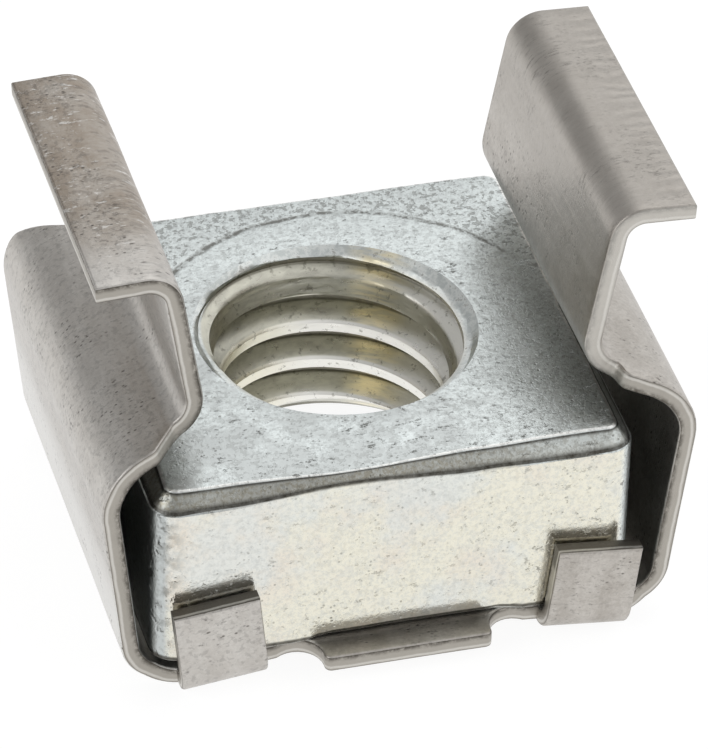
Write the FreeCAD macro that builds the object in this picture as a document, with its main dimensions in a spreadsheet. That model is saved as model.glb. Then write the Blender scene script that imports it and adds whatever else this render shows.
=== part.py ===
"""Square nut held captive in a folded spring-steel cage that clips into a square rack hole.

Frame: origin under the middle of the cage on its lowest line, +Z towards the panel that the
cage clips into, X across the two spring legs, Y along the folds. Millimetres and degrees.
"""
import FreeCAD
import Part

import math
import os

import Sketcher
from FreeCAD import Placement, Rotation, Vector

# Driving dimensions. Each is written once, and everything else is worked out from them.
SIZES = {
    # Square nut
    "nut_width": 10.65,
    "nut_depth": 10.3,
    "nut_height": 4.4,
    "nut_corner": 0.6,
    "nut_chamfer": 0.3,
    "thread_bore": 5.0,
    "countersink": 6.2,
    # Sheet and folds of the cage
    "sheet": 0.4,
    "seat_half": 1.87,
    "crown_radius": 9.5,
    "floor_slope": 6.5,
    "bend_radius": 0.68,
    "wall_lean": 6.7,
    "top_radius": 1.0,
    "shoulder_slope": 19.0,
    "neck_radius": 0.6,
    "leg_lean": 9.8,
    "lip_radius": 0.4,
    "lip_droop": 2.5,
    "lip_reach": 1.07,
    "lip_corner": 0.07,
    # Outline of the strip, seen from above and from the side
    "wall_depth": 9.44,
    "leg_depth": 7.82,
    "corner_blend": 0.7,
    "flare_taper": 16.0,
    "flare_radius": 0.25,
    "flare_front_right": 75.0,
    "flare_front_left": 45.0,
    "flare_back_right": 45.0,
    "flare_back_left": 44.0,
    "taper_front_right": 0.42,
    "taper_front_left": 0.29,
    "taper_back_right": 0.29,
    "taper_back_left": 0.03,
    "setback_front_right": 0.0,
    "setback_front_left": 0.0,
    "setback_back_right": 0.0,
    "setback_back_left": 0.5,
    "tab_inset": 0.12,
    "tab_height": 2.3,
    "tab_radius": 0.25,
    "tongue_reach": 0.1,
    "tongue_corner": 0.15,
    "notch_depth": 0.08,
    "floor_hole": 7.5,
    # Fits and play
    "panel_hole": 9.5,
    "grip": 3.5,
    "neck_gap": 0.16,
    "seat_gap": 0.03,
    "end_gap": 0.06,
    "foot_gap": 0.43,
    "lift_gap": 0.44,
    "nut_shift": 0.21,
}

# Distances from the middle plane that several sketches share
TAB_FACE = "(sizes.nut_depth / 2 + sizes.end_gap)"
FLOOR_EDGE = "(sizes.nut_depth / 2 + sizes.end_gap - sizes.tab_radius)"
REACH = "(sizes.nut_depth / 2 + sizes.end_gap + sizes.sheet)"
TONGUE_END = f"({REACH} + sizes.tongue_reach)"

# Measures of the folded section, as plain numbers of millimetres
RISE, RAMP_X, RAMP_Z, RAMP_LENGTH, WALL_TOP, NECK, LEG_FOOT, TIP_X, LIP_TOP = (
    f"(fold.Constraints.{name} / 1 mm)"
    for name in ("rise", "ramp_x", "ramp_z", "ramp_length", "wall_top", "neck", "leg_foot", "tip_x",
                 "lip_top"))
TAB_START = f"({RAMP_X} + sizes.tab_inset * cos(sizes.floor_slope))"
TAB_END = f"({RAMP_X} + {RAMP_LENGTH} * cos(sizes.floor_slope))"
NOTCH_RADIUS = f"(({TAB_START} - sizes.seat_half) / 2)"
STEP = "((sizes.wall_depth - sizes.leg_depth) / 2)"

# Room past the outermost edge, so that a cut clears it
CLEAR = 1.0


class Profile:
    """Sketch on one of a body's origin planes, drawn and constrained step by step."""

    # A sketch's own numbers for its origin point
    origin = (-1, 1)

    def __init__(self, body, name, role):
        self.sketch = body.newObject("Sketcher::SketchObject", name)
        support = next(f for f in body.Origin.OriginFeatures if f.Role == role)
        self.sketch.AttachmentSupport = [(support, "")]
        self.sketch.MapMode = "FlatFace"

    def line(self, start, end):
        """Straight edge between two (x, y) pairs."""
        edge = Part.LineSegment(Vector(*start, 0), Vector(*end, 0))
        return self.sketch.addGeometry(edge, False)

    def arc(self, centre, radius, first, last):
        """Counter-clockwise arc between two angles in degrees."""
        circle = Part.Circle(Vector(*centre, 0), Vector(0, 0, 1), radius)
        edge = Part.ArcOfCircle(circle, math.radians(first), math.radians(last))
        return self.sketch.addGeometry(edge, False)

    def rule(self, kind, *where):
        """Adds a constraint that has no value."""
        return self.sketch.addConstraint(Sketcher.Constraint(kind, *where))

    def size(self, kind, *where, formula, name=None):
        """Adds a constraint whose value is bound to a formula on the driving dimensions."""
        value = float(self.sketch.evalExpression(formula))
        if kind == "Angle":
            value = math.radians(value)
        index = self.sketch.addConstraint(Sketcher.Constraint(kind, *where, value))
        if name:
            self.sketch.renameConstraint(index, name)
        self.sketch.setExpression(f"Constraints[{index}]", formula)
        return index

    def measure(self, kind, *where, name):
        """Adds a named reference measure that other sketches can use."""
        index = self.sketch.addConstraint(Sketcher.Constraint(kind, *where, 1.0))
        self.sketch.setDriving(index, False)
        self.sketch.renameConstraint(index, name)

    def polygon(self, corners):
        """Closed outline with each corner's distances from the origin bound to two formulas."""
        at = [tuple(float(self.sketch.evalExpression(f)) for f in corner) for corner in corners]
        edges = [self.line(p, q) for p, q in zip(at, at[1:] + at[:1])]
        for edge, after in zip(edges, edges[1:] + edges[:1]):
            self.rule("Coincident", edge, 2, after, 1)
        for edge, corner in zip(edges, corners):
            self.size("DistanceX", *Profile.origin, edge, 1, formula=corner[0])
            self.size("DistanceY", *Profile.origin, edge, 1, formula=corner[1])
        return edges


def make_sheet(doc):
    """Spreadsheet of the driving dimensions, with one alias for each."""
    sheet = doc.addObject("Spreadsheet::Sheet", "sizes")
    for row, (name, value) in enumerate(SIZES.items(), start=1):
        sheet.set(f"A{row}", name)
        sheet.set(f"B{row}", str(value))
        sheet.setAlias(f"B{row}", name)
    doc.recompute()
    return sheet


def new_body(doc, label):
    """Body whose label names its file."""
    body = doc.addObject("PartDesign::Body", label)
    body.Label = label
    return body


def pad(body, name, profile, formula):
    """Pads a sketch to one side by a bound length."""
    feature = body.newObject("PartDesign::Pad", name)
    feature.Profile = profile.sketch
    feature.setExpression("Length", formula)
    body.Document.recompute()
    return feature


def cut(body, name, profile, formula=None, reversed_side=False):
    """Pocket through everything on one side of a sketch, or to a bound depth."""
    feature = body.newObject("PartDesign::Pocket", name)
    feature.Profile = profile.sketch
    feature.Reversed = reversed_side
    if formula:
        feature.setExpression("Length", formula)
    else:
        feature.Type = "ThroughAll"
    body.Document.recompute()
    return feature


def mirror(body, name, role):
    """Mirrors the whole body in one of its origin planes."""
    feature = body.newObject("PartDesign::Mirrored", name)
    feature.TransformMode = "Whole shape"
    feature.MirrorPlane = (next(f for f in body.Origin.OriginFeatures if f.Role == role), [""])
    body.Tip = feature
    body.Document.recompute()
    return feature


def dress(body, kind, name, base, size_name, formula, chosen):
    """Fillets or chamfers the edges of a feature that a test picks."""
    edges = [f"Edge{i}" for i, edge in enumerate(base.Shape.Edges, start=1) if chosen(edge)]
    feature = body.newObject(f"PartDesign::{kind}", name)
    feature.Base = (base, edges)
    feature.setExpression(size_name, formula)
    body.Document.recompute()
    return feature


def is_upright(edge):
    """True for a straight edge along Z."""
    ends = [v.Point for v in edge.Vertexes]
    return len(ends) == 2 and abs(abs((ends[1] - ends[0]).z) - edge.Length) < 1e-6


def make_nut(doc):
    """Square nut: a block with rounded corners, eased faces and a countersunk bore."""
    body = new_body(doc, "square_nut")
    half_x, half_y = "(sizes.nut_width / 2)", "(sizes.nut_depth / 2)"
    outline = Profile(body, "nut_outline", "XY_Plane")
    outline.polygon([("-" + half_x, "-" + half_y), (half_x, "-" + half_y),
                     (half_x, half_y), ("-" + half_x, half_y)])
    block = pad(body, "nut_block", outline, "sizes.nut_height")
    rounded = dress(body, "Fillet", "nut_corners", block, "Radius", "sizes.nut_corner", is_upright)
    eased = dress(body, "Chamfer", "nut_edges", rounded, "Size", "sizes.nut_chamfer",
                  lambda edge: abs(edge.BoundBox.ZLength) < 1e-6)
    bore = Profile(body, "bore_circle", "XY_Plane")
    circle = Part.Circle(Vector(0, 0, 0), Vector(0, 0, 1), SIZES["thread_bore"] / 2)
    ring = bore.sketch.addGeometry(circle, False)
    bore.rule("Coincident", ring, 3, *Profile.origin)
    bore.size("Diameter", ring, formula="sizes.thread_bore")
    through = cut(body, "thread_bore", bore, reversed_side=True)
    radius = SIZES["thread_bore"] / 2
    dress(body, "Chamfer", "countersinks", through, "Size",
          "(sizes.countersink - sizes.thread_bore) / 2",
          lambda edge: isinstance(edge.Curve, Part.Circle) and abs(edge.Curve.Radius - radius) < 1e-6
          and abs(edge.BoundBox.ZLength) < 1e-6)
    body.setExpression("Placement.Base.x", "-sizes.nut_shift")
    body.setExpression("Placement.Base.z", RISE + " + sizes.sheet + sizes.seat_gap")
    return body


class Strip:
    """Path of the folded sheet from the middle of the floor to the tip of one lip.

    The path follows the outside of the sheet. The inside runs parallel to it, one sheet
    thickness to the left. A turn to the left is positive.
    """

    def __init__(self):
        self.point = Vector(0, 0, 0)
        self.heading = 0.0
        self.steps = []

    def ahead(self):
        """Unit vector along the path."""
        return Vector(math.cos(math.radians(self.heading)), math.sin(math.radians(self.heading)), 0)

    def left(self):
        """Unit vector towards the inside of the sheet."""
        return Vector(-math.sin(math.radians(self.heading)), math.cos(math.radians(self.heading)), 0)

    def run(self, length):
        """Goes straight ahead."""
        self.steps.append(("run", self.point, self.heading, length, 0.0))
        self.point = self.point + self.ahead() * length

    def turn(self, radius, angle):
        """Bends round an inside radius by an angle."""
        self.steps.append(("turn", self.point, self.heading, radius, angle))
        outer = radius + SIZES["sheet"] if angle > 0 else radius
        side = 1 if angle > 0 else -1
        centre = self.point + self.left() * (side * outer)
        self.heading += angle
        self.point = centre - self.left() * (side * outer)

    def run_until(self, radius, angle, axis, target, inside=False):
        """Goes straight, then turns, so that the point after the turn lies at a coordinate."""
        start, heading, count = self.point, self.heading, len(self.steps)
        ahead = self.ahead()
        self.turn(radius, angle)
        reached = self.point + self.left() * SIZES["sheet"] if inside else self.point
        missing = (target - getattr(reached, axis)) / getattr(ahead, axis)
        self.point, self.heading = start, heading
        del self.steps[count:]
        self.run(missing)
        self.turn(radius, angle)


def plan_strip():
    """Works out the folds, with the lowest line of the sheet at height zero."""
    s = SIZES
    strip = Strip()
    strip.run(s["seat_half"])
    strip.turn(s["crown_radius"], -s["floor_slope"])
    strip.run_until(s["bend_radius"], s["floor_slope"] + 90 - s["wall_lean"],
                    "x", s["nut_width"] / 2 + s["foot_gap"], inside=True)
    top = s["sheet"] + s["seat_gap"] + s["nut_height"]
    strip.run_until(s["top_radius"], 90 - s["shoulder_slope"] + s["wall_lean"],
                    "y", top + s["lift_gap"], inside=True)
    strip.run_until(s["neck_radius"], s["shoulder_slope"] - s["leg_lean"] - 90,
                    "x", s["panel_hole"] / 2 - s["neck_gap"])
    shoulder_end = strip.steps[-1][1].y
    strip.run_until(s["lip_radius"], s["leg_lean"] - 90 - s["lip_droop"],
                    "y", shoulder_end + s["grip"])
    strip.run(s["lip_reach"] / math.cos(math.radians(s["lip_droop"])))
    bend_start = strip.steps[3][1]
    centre_height = s["bend_radius"] + s["sheet"]
    slope = math.radians(s["floor_slope"])
    low = bend_start + Vector(math.sin(slope), math.cos(slope), 0) * centre_height
    lift = Vector(0, centre_height - low.y, 0)
    return [(kind, point + lift, heading, amount, angle)
            for kind, point, heading, amount, angle in strip.steps]


def draw_side(profile, steps, inside):
    """Draws one side of the sheet and joins its pieces tangentially."""
    drawn = []
    for kind, point, heading, amount, angle in steps:
        way = math.radians(heading)
        left = Vector(-math.sin(way), math.cos(way), 0)
        start = point + left * SIZES["sheet"] if inside else point
        if kind == "run":
            end = start + Vector(math.cos(way), math.sin(way), 0) * amount
            drawn.append((profile.line((start.x, start.y), (end.x, end.y)), 1, 2))
            continue
        wide = (angle > 0) != inside
        radius = amount + SIZES["sheet"] if wide else amount
        side = 1 if angle > 0 else -1
        centre = start + left * (side * radius)
        first = heading - 90 if angle > 0 else heading + 90 + angle
        index = profile.arc((centre.x, centre.y), radius, first, first + abs(angle))
        drawn.append((index, 1, 2) if angle > 0 else (index, 2, 1))
    for (edge, _, end), (after, start, _) in zip(drawn, drawn[1:]):
        profile.rule("Tangent", edge, end, after, start)
    profile.rule("Vertical", drawn[0][0], 1, *Profile.origin)
    profile.rule("Horizontal", drawn[0][0])
    return drawn


def fold_section(body):
    """Section of half of the cage, fully constrained, from the middle to the tip of the lip."""
    fold = Profile(body, "fold", "XZ_Plane")
    steps = plan_strip()
    outside = draw_side(fold, steps, inside=False)
    inside = draw_side(fold, steps, inside=True)
    seat, crown, ramp, bend, wall, top, shoulder, neck, leg, curl, lip = (g for g, _, _ in outside)
    seat_in, crown_in, ramp_in, bend_in, wall_in, top_in, shoulder_in, neck_in, leg_in, curl_in, lip_in = (
        g for g, _, _ in inside)
    for outer, inner in ((crown, crown_in), (bend, bend_in), (top, top_in), (neck, neck_in),
                         (curl, curl_in)):
        fold.rule("Coincident", outer, 3, inner, 3)
    for outer, inner in ((ramp, ramp_in), (wall, wall_in), (shoulder, shoulder_in), (leg, leg_in),
                         (lip, lip_in)):
        fold.rule("Parallel", outer, inner)
    geometry = fold.sketch.Geometry
    tips = [geometry[lip].EndPoint, geometry[lip_in].EndPoint]
    feet = [geometry[seat].StartPoint, geometry[seat_in].StartPoint]
    tip = fold.line((tips[0].x, tips[0].y), (tips[1].x, tips[1].y))
    foot = fold.line((feet[0].x, feet[0].y), (feet[1].x, feet[1].y))
    for edge, outer, inner, end in ((tip, lip, lip_in, 2), (foot, seat, seat_in, 1)):
        fold.rule("Coincident", edge, 1, outer, end)
        fold.rule("Coincident", edge, 2, inner, end)
    fold.rule("Perpendicular", tip, lip)

    fold.size("DistanceY", seat, 1, seat_in, 1, formula="sizes.sheet", name="sheet")
    fold.size("DistanceX", seat, 1, seat, 2, formula="sizes.seat_half", name="seat_half")
    for arc, name in ((crown, "crown_radius"), (bend_in, "bend_radius"), (top_in, "top_radius"),
                      (neck, "neck_radius"), (curl, "lip_radius")):
        fold.size("Radius", arc, formula=f"sizes.{name}", name=name)
    for edge, formula in ((ramp, "-sizes.floor_slope"), (wall, "90 - sizes.wall_lean"),
                          (shoulder, "180 - sizes.shoulder_slope"), (leg, "90 - sizes.leg_lean"),
                          (lip, "-sizes.lip_droop")):
        fold.size("Angle", edge, formula=formula)
    fold.size("DistanceY", *Profile.origin, bend, 3, formula="sizes.bend_radius + sizes.sheet", name="lowest")
    fold.size("DistanceX", *Profile.origin, wall_in, 1,
              formula="sizes.nut_width / 2 + sizes.foot_gap", name="foot")
    fold.size("DistanceY", seat_in, 1, shoulder_in, 1,
              formula="sizes.seat_gap + sizes.nut_height + sizes.lift_gap", name="lift")
    fold.size("DistanceX", *Profile.origin, leg, 1,
              formula="sizes.panel_hole / 2 - sizes.neck_gap", name="neck")
    fold.size("DistanceY", shoulder, 2, lip, 1, formula="sizes.grip", name="grip")
    fold.size("DistanceX", lip, 1, lip, 2, formula="sizes.lip_reach", name="lip_reach")

    fold.measure("DistanceY", *Profile.origin, seat, 1, name="rise")
    fold.measure("DistanceY", *Profile.origin, top_in, 1, name="wall_top")
    fold.measure("DistanceX", *Profile.origin, ramp, 1, name="ramp_x")
    fold.measure("DistanceY", *Profile.origin, ramp, 1, name="ramp_z")
    fold.measure("Distance", ramp, name="ramp_length")
    fold.measure("DistanceY", *Profile.origin, leg, 1, name="leg_foot")
    fold.measure("DistanceX", *Profile.origin, lip, 2, name="tip_x")
    fold.measure("DistanceY", *Profile.origin, lip_in, 1, name="lip_top")
    body.Document.recompute()
    return fold


def floor_outline(body):
    """What the front of the strip loses, seen from below: beside the tongue, tab and wall."""
    out = Profile(body, "floor_outline", "XY_Plane")
    value = out.sketch.evalExpression
    seat, start, end = (float(value(f)) for f in ("sizes.seat_half", TAB_START, TAB_END))
    edge, reach, wall = (float(value(f)) for f in (FLOOR_EDGE, TONGUE_END, "sizes.wall_depth / 2"))
    radius = float(value(NOTCH_RADIUS))
    depth = SIZES["notch_depth"]
    past = reach + CLEAR
    side = float(value(TIP_X)) + CLEAR
    centre = ((seat + start) / 2, -(edge - depth + radius))
    turn = math.degrees(math.asin((radius - depth) / radius))
    notch_end = centre[0] + radius * math.cos(math.radians(turn))
    notch = out.arc(centre, radius, turn, 180)
    points = [(seat, centre[1]), (seat, -past), (side, -past), (side, -wall),
              (end + SIZES["corner_blend"], -wall), (end, -edge), (notch_end, -edge)]
    lines = [out.line(p, q) for p, q in zip(points, points[1:])]
    out.rule("Tangent", notch, 2, lines[0], 1)
    for here, after in zip(lines, lines[1:]):
        out.rule("Coincident", here, 2, after, 1)
    out.rule("Coincident", lines[-1], 2, notch, 1)
    for index in (0, 2):
        out.rule("Vertical", lines[index])
    for index in (1, 3, 5):
        out.rule("Horizontal", lines[index])
    out.size("DistanceX", *Profile.origin, lines[0], 1, formula="sizes.seat_half")
    out.size("Radius", notch, formula=NOTCH_RADIUS)
    out.size("DistanceY", notch, 3, *Profile.origin,
             formula=f"{FLOOR_EDGE} - sizes.notch_depth + {NOTCH_RADIUS}")
    out.size("DistanceY", lines[0], 2, *Profile.origin, formula=f"{TONGUE_END} + {CLEAR}")
    out.size("DistanceX", *Profile.origin, lines[2], 1, formula=f"{TIP_X} + {CLEAR}")
    out.size("DistanceY", lines[3], 1, *Profile.origin, formula="sizes.wall_depth / 2")
    out.size("DistanceX", *Profile.origin, lines[3], 2, formula=f"{TAB_END} + sizes.corner_blend")
    out.size("DistanceX", *Profile.origin, lines[4], 2, formula=TAB_END)
    out.size("DistanceY", lines[5], 1, *Profile.origin, formula=FLOOR_EDGE)
    return out


def shoulder_flare(body, corner, turned_about=None):
    """What one corner of the shoulder loses, seen from above, where the leg widens to the wall.

    The edge of the strip leaves the leg's line in an arc, climbs steeply for a share of the
    step, and bends by an equal arc into a taper that meets the wall's line. The blank was cut
    a little askew, so each corner has its own steepness, taper and setback. The outline is
    drawn for the front right corner, and turned half round for another one.
    """
    out = Profile(body, f"{corner}_outline", "XY_Plane")
    if turned_about:
        out.sketch.AttachmentOffset = Placement(Vector(0, 0, 0), Rotation(turned_about, 180))
    out.sketch.setExpression("AttachmentOffset.Base.z", WALL_TOP)
    steep, start = f"sizes.flare_{corner}", f"({NECK} + sizes.setback_{corner})"
    taper_rise = f"(sizes.taper_{corner} * {STEP})"
    blend = f"min(sizes.flare_radius; 0.31 * {STEP})"
    reach = (f"({start} + {blend} * tan({steep} / 2) + ({STEP} - {taper_rise}) / tan({steep})"
             f" + {taper_rise} / tan(sizes.flare_taper))")

    def value(formula):
        return float(out.sketch.evalExpression(formula))

    first, last, climb, radius = value(start), value(reach), value(steep), value(blend)
    taper, past, side = SIZES["flare_taper"], value(TONGUE_END) + CLEAR, value(TIP_X) + CLEAR
    leg, wall = SIZES["leg_depth"] / 2, SIZES["wall_depth"] / 2
    ahead, across = (Vector(math.cos(math.radians(a)), -math.sin(math.radians(a)), 0)
                     for a in (climb, climb - 90))
    flat = Vector(math.cos(math.radians(taper)), -math.sin(math.radians(taper)), 0)
    inner_centre = Vector(first, -leg - radius, 0)
    climb_start = inner_centre + across * radius
    taper_length = value(taper_rise) / math.sin(math.radians(taper))
    bend = Vector(last, -wall, 0) - flat * taper_length
    trim = radius * math.tan(math.radians((climb - taper) / 2))
    climb_end, taper_start = bend - ahead * trim, bend + flat * trim
    outer_centre = climb_end + across * radius

    inner = out.arc((inner_centre.x, inner_centre.y), radius, 90 - climb, 90)
    steep_edge = out.line((climb_start.x, climb_start.y), (climb_end.x, climb_end.y))
    outer = out.arc((outer_centre.x, outer_centre.y), radius, 270 - climb, 270 - taper)
    taper_edge = out.line((taper_start.x, taper_start.y), (last, -wall))
    points = [(first, -leg), (0.5 * first, -leg), (0.5 * first, -past), (side, -past), (side, -wall),
              (last, -wall)]
    lines = [out.line(p, q) for p, q in zip(points, points[1:])]
    out.rule("Tangent", inner, 2, lines[0], 1)
    out.rule("Tangent", inner, 1, steep_edge, 1)
    out.rule("Tangent", steep_edge, 2, outer, 1)
    out.rule("Tangent", outer, 2, taper_edge, 1)
    out.rule("Coincident", taper_edge, 2, lines[-1], 2)
    out.rule("Equal", inner, outer)
    for here, after in zip(lines, lines[1:]):
        out.rule("Coincident", here, 2, after, 1)
    for index in (0, 2, 4):
        out.rule("Horizontal", lines[index])
    for index in (1, 3):
        out.rule("Vertical", lines[index])
    out.size("Radius", inner, formula=blend)
    out.size("Angle", steep_edge, formula=f"-{steep}")
    out.size("Angle", taper_edge, formula="-sizes.flare_taper")
    out.size("DistanceX", *Profile.origin, lines[0], 1, formula=start)
    out.size("DistanceX", *Profile.origin, lines[0], 2, formula=f"{start} / 2")
    out.size("DistanceX", *Profile.origin, lines[4], 2, formula=reach)
    out.size("DistanceX", *Profile.origin, lines[3], 1, formula=f"{TIP_X} + {CLEAR}")
    out.size("DistanceY", lines[0], 1, *Profile.origin, formula="sizes.leg_depth / 2")
    out.size("DistanceY", lines[4], 2, *Profile.origin, formula="sizes.wall_depth / 2")
    out.size("DistanceY", lines[1], 2, *Profile.origin, formula=f"{TONGUE_END} + {CLEAR}")
    return out


def leg_outline(body):
    """What the leg and lip lose, seen from the side, so that they pass the square hole."""
    out = Profile(body, "leg_outline", "YZ_Plane")
    top = f"{LIP_TOP} + {CLEAR}"
    past = f"-({TONGUE_END} + {CLEAR})"
    out.polygon([(past, LEG_FOOT), ("-sizes.leg_depth / 2", LEG_FOOT),
                 ("-sizes.leg_depth / 2", top), (past, top)])
    return out


def tab_section(body):
    """Section of the tab that is folded up from the sloping part of the floor."""
    out = Profile(body, "tab_section", "YZ_Plane")
    out.sketch.AttachmentOffset = Placement(Vector(0, 0, 0), Rotation(Vector(1, 0, 0), 1))
    out.sketch.setExpression("AttachmentOffset.Rotation.Angle", "sizes.floor_slope")
    out.sketch.setExpression("AttachmentOffset.Base.y",
                             f"{RAMP_Z} - sizes.tab_inset * sin(sizes.floor_slope)")
    out.sketch.setExpression("AttachmentOffset.Base.z", TAB_START)
    body.Document.recompute()
    value = out.sketch.evalExpression
    edge, face, reach = (float(value(f)) for f in (FLOOR_EDGE, TAB_FACE, REACH))
    sheet, bend, height = SIZES["sheet"], SIZES["tab_radius"], SIZES["tab_height"]
    root = edge - sheet
    outer = out.arc((-edge, bend + sheet), bend + sheet, 180, 270)
    inner = out.arc((-edge, bend + sheet), bend, 180, 270)
    points = [(-reach, bend + sheet), (-reach, height), (-face, height), (-face, bend + sheet)]
    up, over, down = (out.line(p, q) for p, q in zip(points, points[1:]))
    points = [(-edge, sheet), (-root, sheet), (-root, 0), (-edge, 0)]
    top, back, under = (out.line(p, q) for p, q in zip(points, points[1:]))
    for edge_a, end_a, edge_b, end_b in ((outer, 1, up, 1), (down, 2, inner, 1), (inner, 2, top, 1),
                                         (under, 2, outer, 2)):
        out.rule("Tangent", edge_a, end_a, edge_b, end_b)
    for edge_a, end_a, edge_b, end_b in ((up, 2, over, 1), (over, 2, down, 1), (top, 2, back, 1),
                                         (back, 2, under, 1)):
        out.rule("Coincident", edge_a, end_a, edge_b, end_b)
    out.rule("Coincident", outer, 3, inner, 3)
    for edge in (up, down, back):
        out.rule("Vertical", edge)
    for edge in (over, top, under):
        out.rule("Horizontal", edge)
    out.size("Radius", inner, formula="sizes.tab_radius")
    out.size("DistanceY", back, 2, back, 1, formula="sizes.sheet")
    out.size("DistanceX", inner, 3, *Profile.origin, formula=FLOOR_EDGE)
    out.size("DistanceX", back, 1, *Profile.origin, formula=f"{FLOOR_EDGE} - sizes.sheet")
    out.rule("Horizontal", under, 1, *Profile.origin)
    out.size("DistanceY", *Profile.origin, up, 2, formula="sizes.tab_height")
    return out


def make_cage(doc):
    """Spring cage: one folded strip with a pierced floor, four tabs, two tongues and two legs."""
    body = new_body(doc, "spring_cage")
    fold = fold_section(body)
    pad(body, "strip", fold, TONGUE_END)
    cut(body, "blank_outline", floor_outline(body), reversed_side=True)
    cut(body, "leg_trim", leg_outline(body), reversed_side=True)
    tabbed = pad(body, "tab", tab_section(body), RAMP_LENGTH + " - sizes.tab_inset")
    tip_x = float(fold.sketch.evalExpression(TIP_X))
    reach = float(fold.sketch.evalExpression(TONGUE_END))
    sheet = SIZES["sheet"]

    def at_lip_corner(edge):
        middle = edge.BoundBox.Center
        return (abs(edge.Length - sheet) < 0.01 and abs(middle.x - tip_x) < sheet
                and abs(middle.y + SIZES["leg_depth"] / 2) < 1e-3)

    def at_tongue_corner(edge):
        middle = edge.BoundBox.Center
        return (is_upright(edge) and abs(middle.x - SIZES["seat_half"]) < 1e-3
                and abs(middle.y + reach) < 1e-3)

    lipped = dress(body, "Fillet", "lip_corners", tabbed, "Radius", "sizes.lip_corner", at_lip_corner)
    dress(body, "Fillet", "tongue_corners", lipped, "Radius", "sizes.tongue_corner", at_tongue_corner)
    mirror(body, "front_and_back", "XZ_Plane")
    mirror(body, "left_and_right", "YZ_Plane")
    corners = (("front_right", None), ("front_left", Vector(0, 1, 0)),
               ("back_right", Vector(1, 0, 0)), ("back_left", Vector(0, 0, 1)))
    for corner, axis in corners:
        outline = shoulder_flare(body, corner, axis)
        upward = axis is None or axis.z > 0
        cut(body, f"{corner}_flare", outline, reversed_side=upward)
    hole = Profile(body, "floor_hole", "XY_Plane")
    circle = Part.Circle(Vector(0, 0, 0), Vector(0, 0, 1), SIZES["floor_hole"] / 2)
    ring = hole.sketch.addGeometry(circle, False)
    hole.rule("Coincident", ring, 3, *Profile.origin)
    hole.size("Diameter", ring, formula="sizes.floor_hole")
    cut(body, "pierced_floor", hole, "sizes.bend_radius + sizes.sheet", reversed_side=True)
    return body


def check(doc):
    """Stops if any object failed to build or a sub-part isn't one valid solid."""
    for thing in doc.Objects:
        bad = {"Invalid", "Error"} & set(thing.State)
        if bad:
            raise RuntimeError(f"{thing.Label} did not build: {thing.State}")
    for body in doc.findObjects("PartDesign::Body"):
        shape = body.Shape
        if shape.isNull() or not shape.isValid() or len(shape.Solids) != 1:
            raise RuntimeError(f"{body.Label} is not one valid solid")


def main():
    doc = FreeCAD.newDocument("cage_nut")
    make_sheet(doc)
    cage = make_cage(doc)
    nut = make_nut(doc)
    doc.recompute()
    check(doc)
    os.makedirs("parts", exist_ok=True)
    for body in (cage, nut):
        body.Shape.exportStep(f"parts/{body.Label}.step")
        box = body.Shape.BoundBox
        print(f"{body.Label}: {box.XLength:.2f} x {box.YLength:.2f} x {box.ZLength:.2f} mm, "
              f"lowest {box.ZMin:.3f}, volume {body.Shape.Volume:.2f} mm3")


main()
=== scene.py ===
"""Looks of the rack cage nut: a zinc-plated square nut held in a folded spring-steel cage.

The cage is made the way sheet metal is made: a flat blank is cut out, its edges are eased,
and the blank is folded along its path. The nut gets its real helical thread. Lengths inside
the classes are millimetres, and each mesh is scaled to metres once it is finished.
"""

import logging
import math
from collections.abc import Iterable
from dataclasses import dataclass, field
from enum import Enum

import bmesh
import bpy
from mathutils import Matrix, Vector, noise

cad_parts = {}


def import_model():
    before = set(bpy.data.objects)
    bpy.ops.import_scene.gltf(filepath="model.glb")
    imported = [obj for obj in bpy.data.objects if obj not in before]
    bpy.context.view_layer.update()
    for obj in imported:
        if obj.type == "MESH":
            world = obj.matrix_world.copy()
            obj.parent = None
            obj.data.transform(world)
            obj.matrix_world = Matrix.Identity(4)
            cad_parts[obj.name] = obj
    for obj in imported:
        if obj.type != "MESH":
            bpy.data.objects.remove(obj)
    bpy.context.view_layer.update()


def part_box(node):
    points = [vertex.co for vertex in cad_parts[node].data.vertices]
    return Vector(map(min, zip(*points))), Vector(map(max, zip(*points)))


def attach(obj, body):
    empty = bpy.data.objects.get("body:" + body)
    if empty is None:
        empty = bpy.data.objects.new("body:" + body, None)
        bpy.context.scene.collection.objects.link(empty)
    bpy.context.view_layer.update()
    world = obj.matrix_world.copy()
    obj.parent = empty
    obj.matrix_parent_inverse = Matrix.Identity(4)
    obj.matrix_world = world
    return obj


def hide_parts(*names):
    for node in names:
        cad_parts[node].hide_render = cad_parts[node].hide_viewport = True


LOG = logging.getLogger("cage_nut")
MM = 0.001
CREASE = math.radians(34)

# Millimetres within which two places count as one, from the strictest to the loosest
HAIR = 1e-5
CLOSE = 1e-4
NEAR = 1e-3

Colour = tuple[float, float, float]
Steps = tuple[tuple[float, float], ...]


class Axis(Enum):
    """Direction that a set of parallel cuts is square to."""

    X = Vector((1, 0, 0))
    Y = Vector((0, 1, 0))
    Z = Vector((0, 0, 1))


class Mark(Enum):
    """Number of the stretch of the cage's folded path that begins at a place."""

    RAMP = 2
    FLOOR_BEND = 3
    WALL = 4
    TOP_BEND = 5
    LEG = 8


def slice_mesh(mesh: bmesh.types.BMesh, axis: Axis, places: list[float]) -> None:
    """Cuts new edges through a mesh on parallel planes.

    Args:
        mesh: Mesh to cut.
        axis: Direction that the planes are square to.
        places: Coordinates of the planes along it.
    """
    for place in places:
        geometry = mesh.verts[:] + mesh.edges[:] + mesh.faces[:]
        bmesh.ops.bisect_plane(mesh, geom=geometry, dist=HAIR, plane_co=axis.value * place,
                               plane_no=axis.value)


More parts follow.
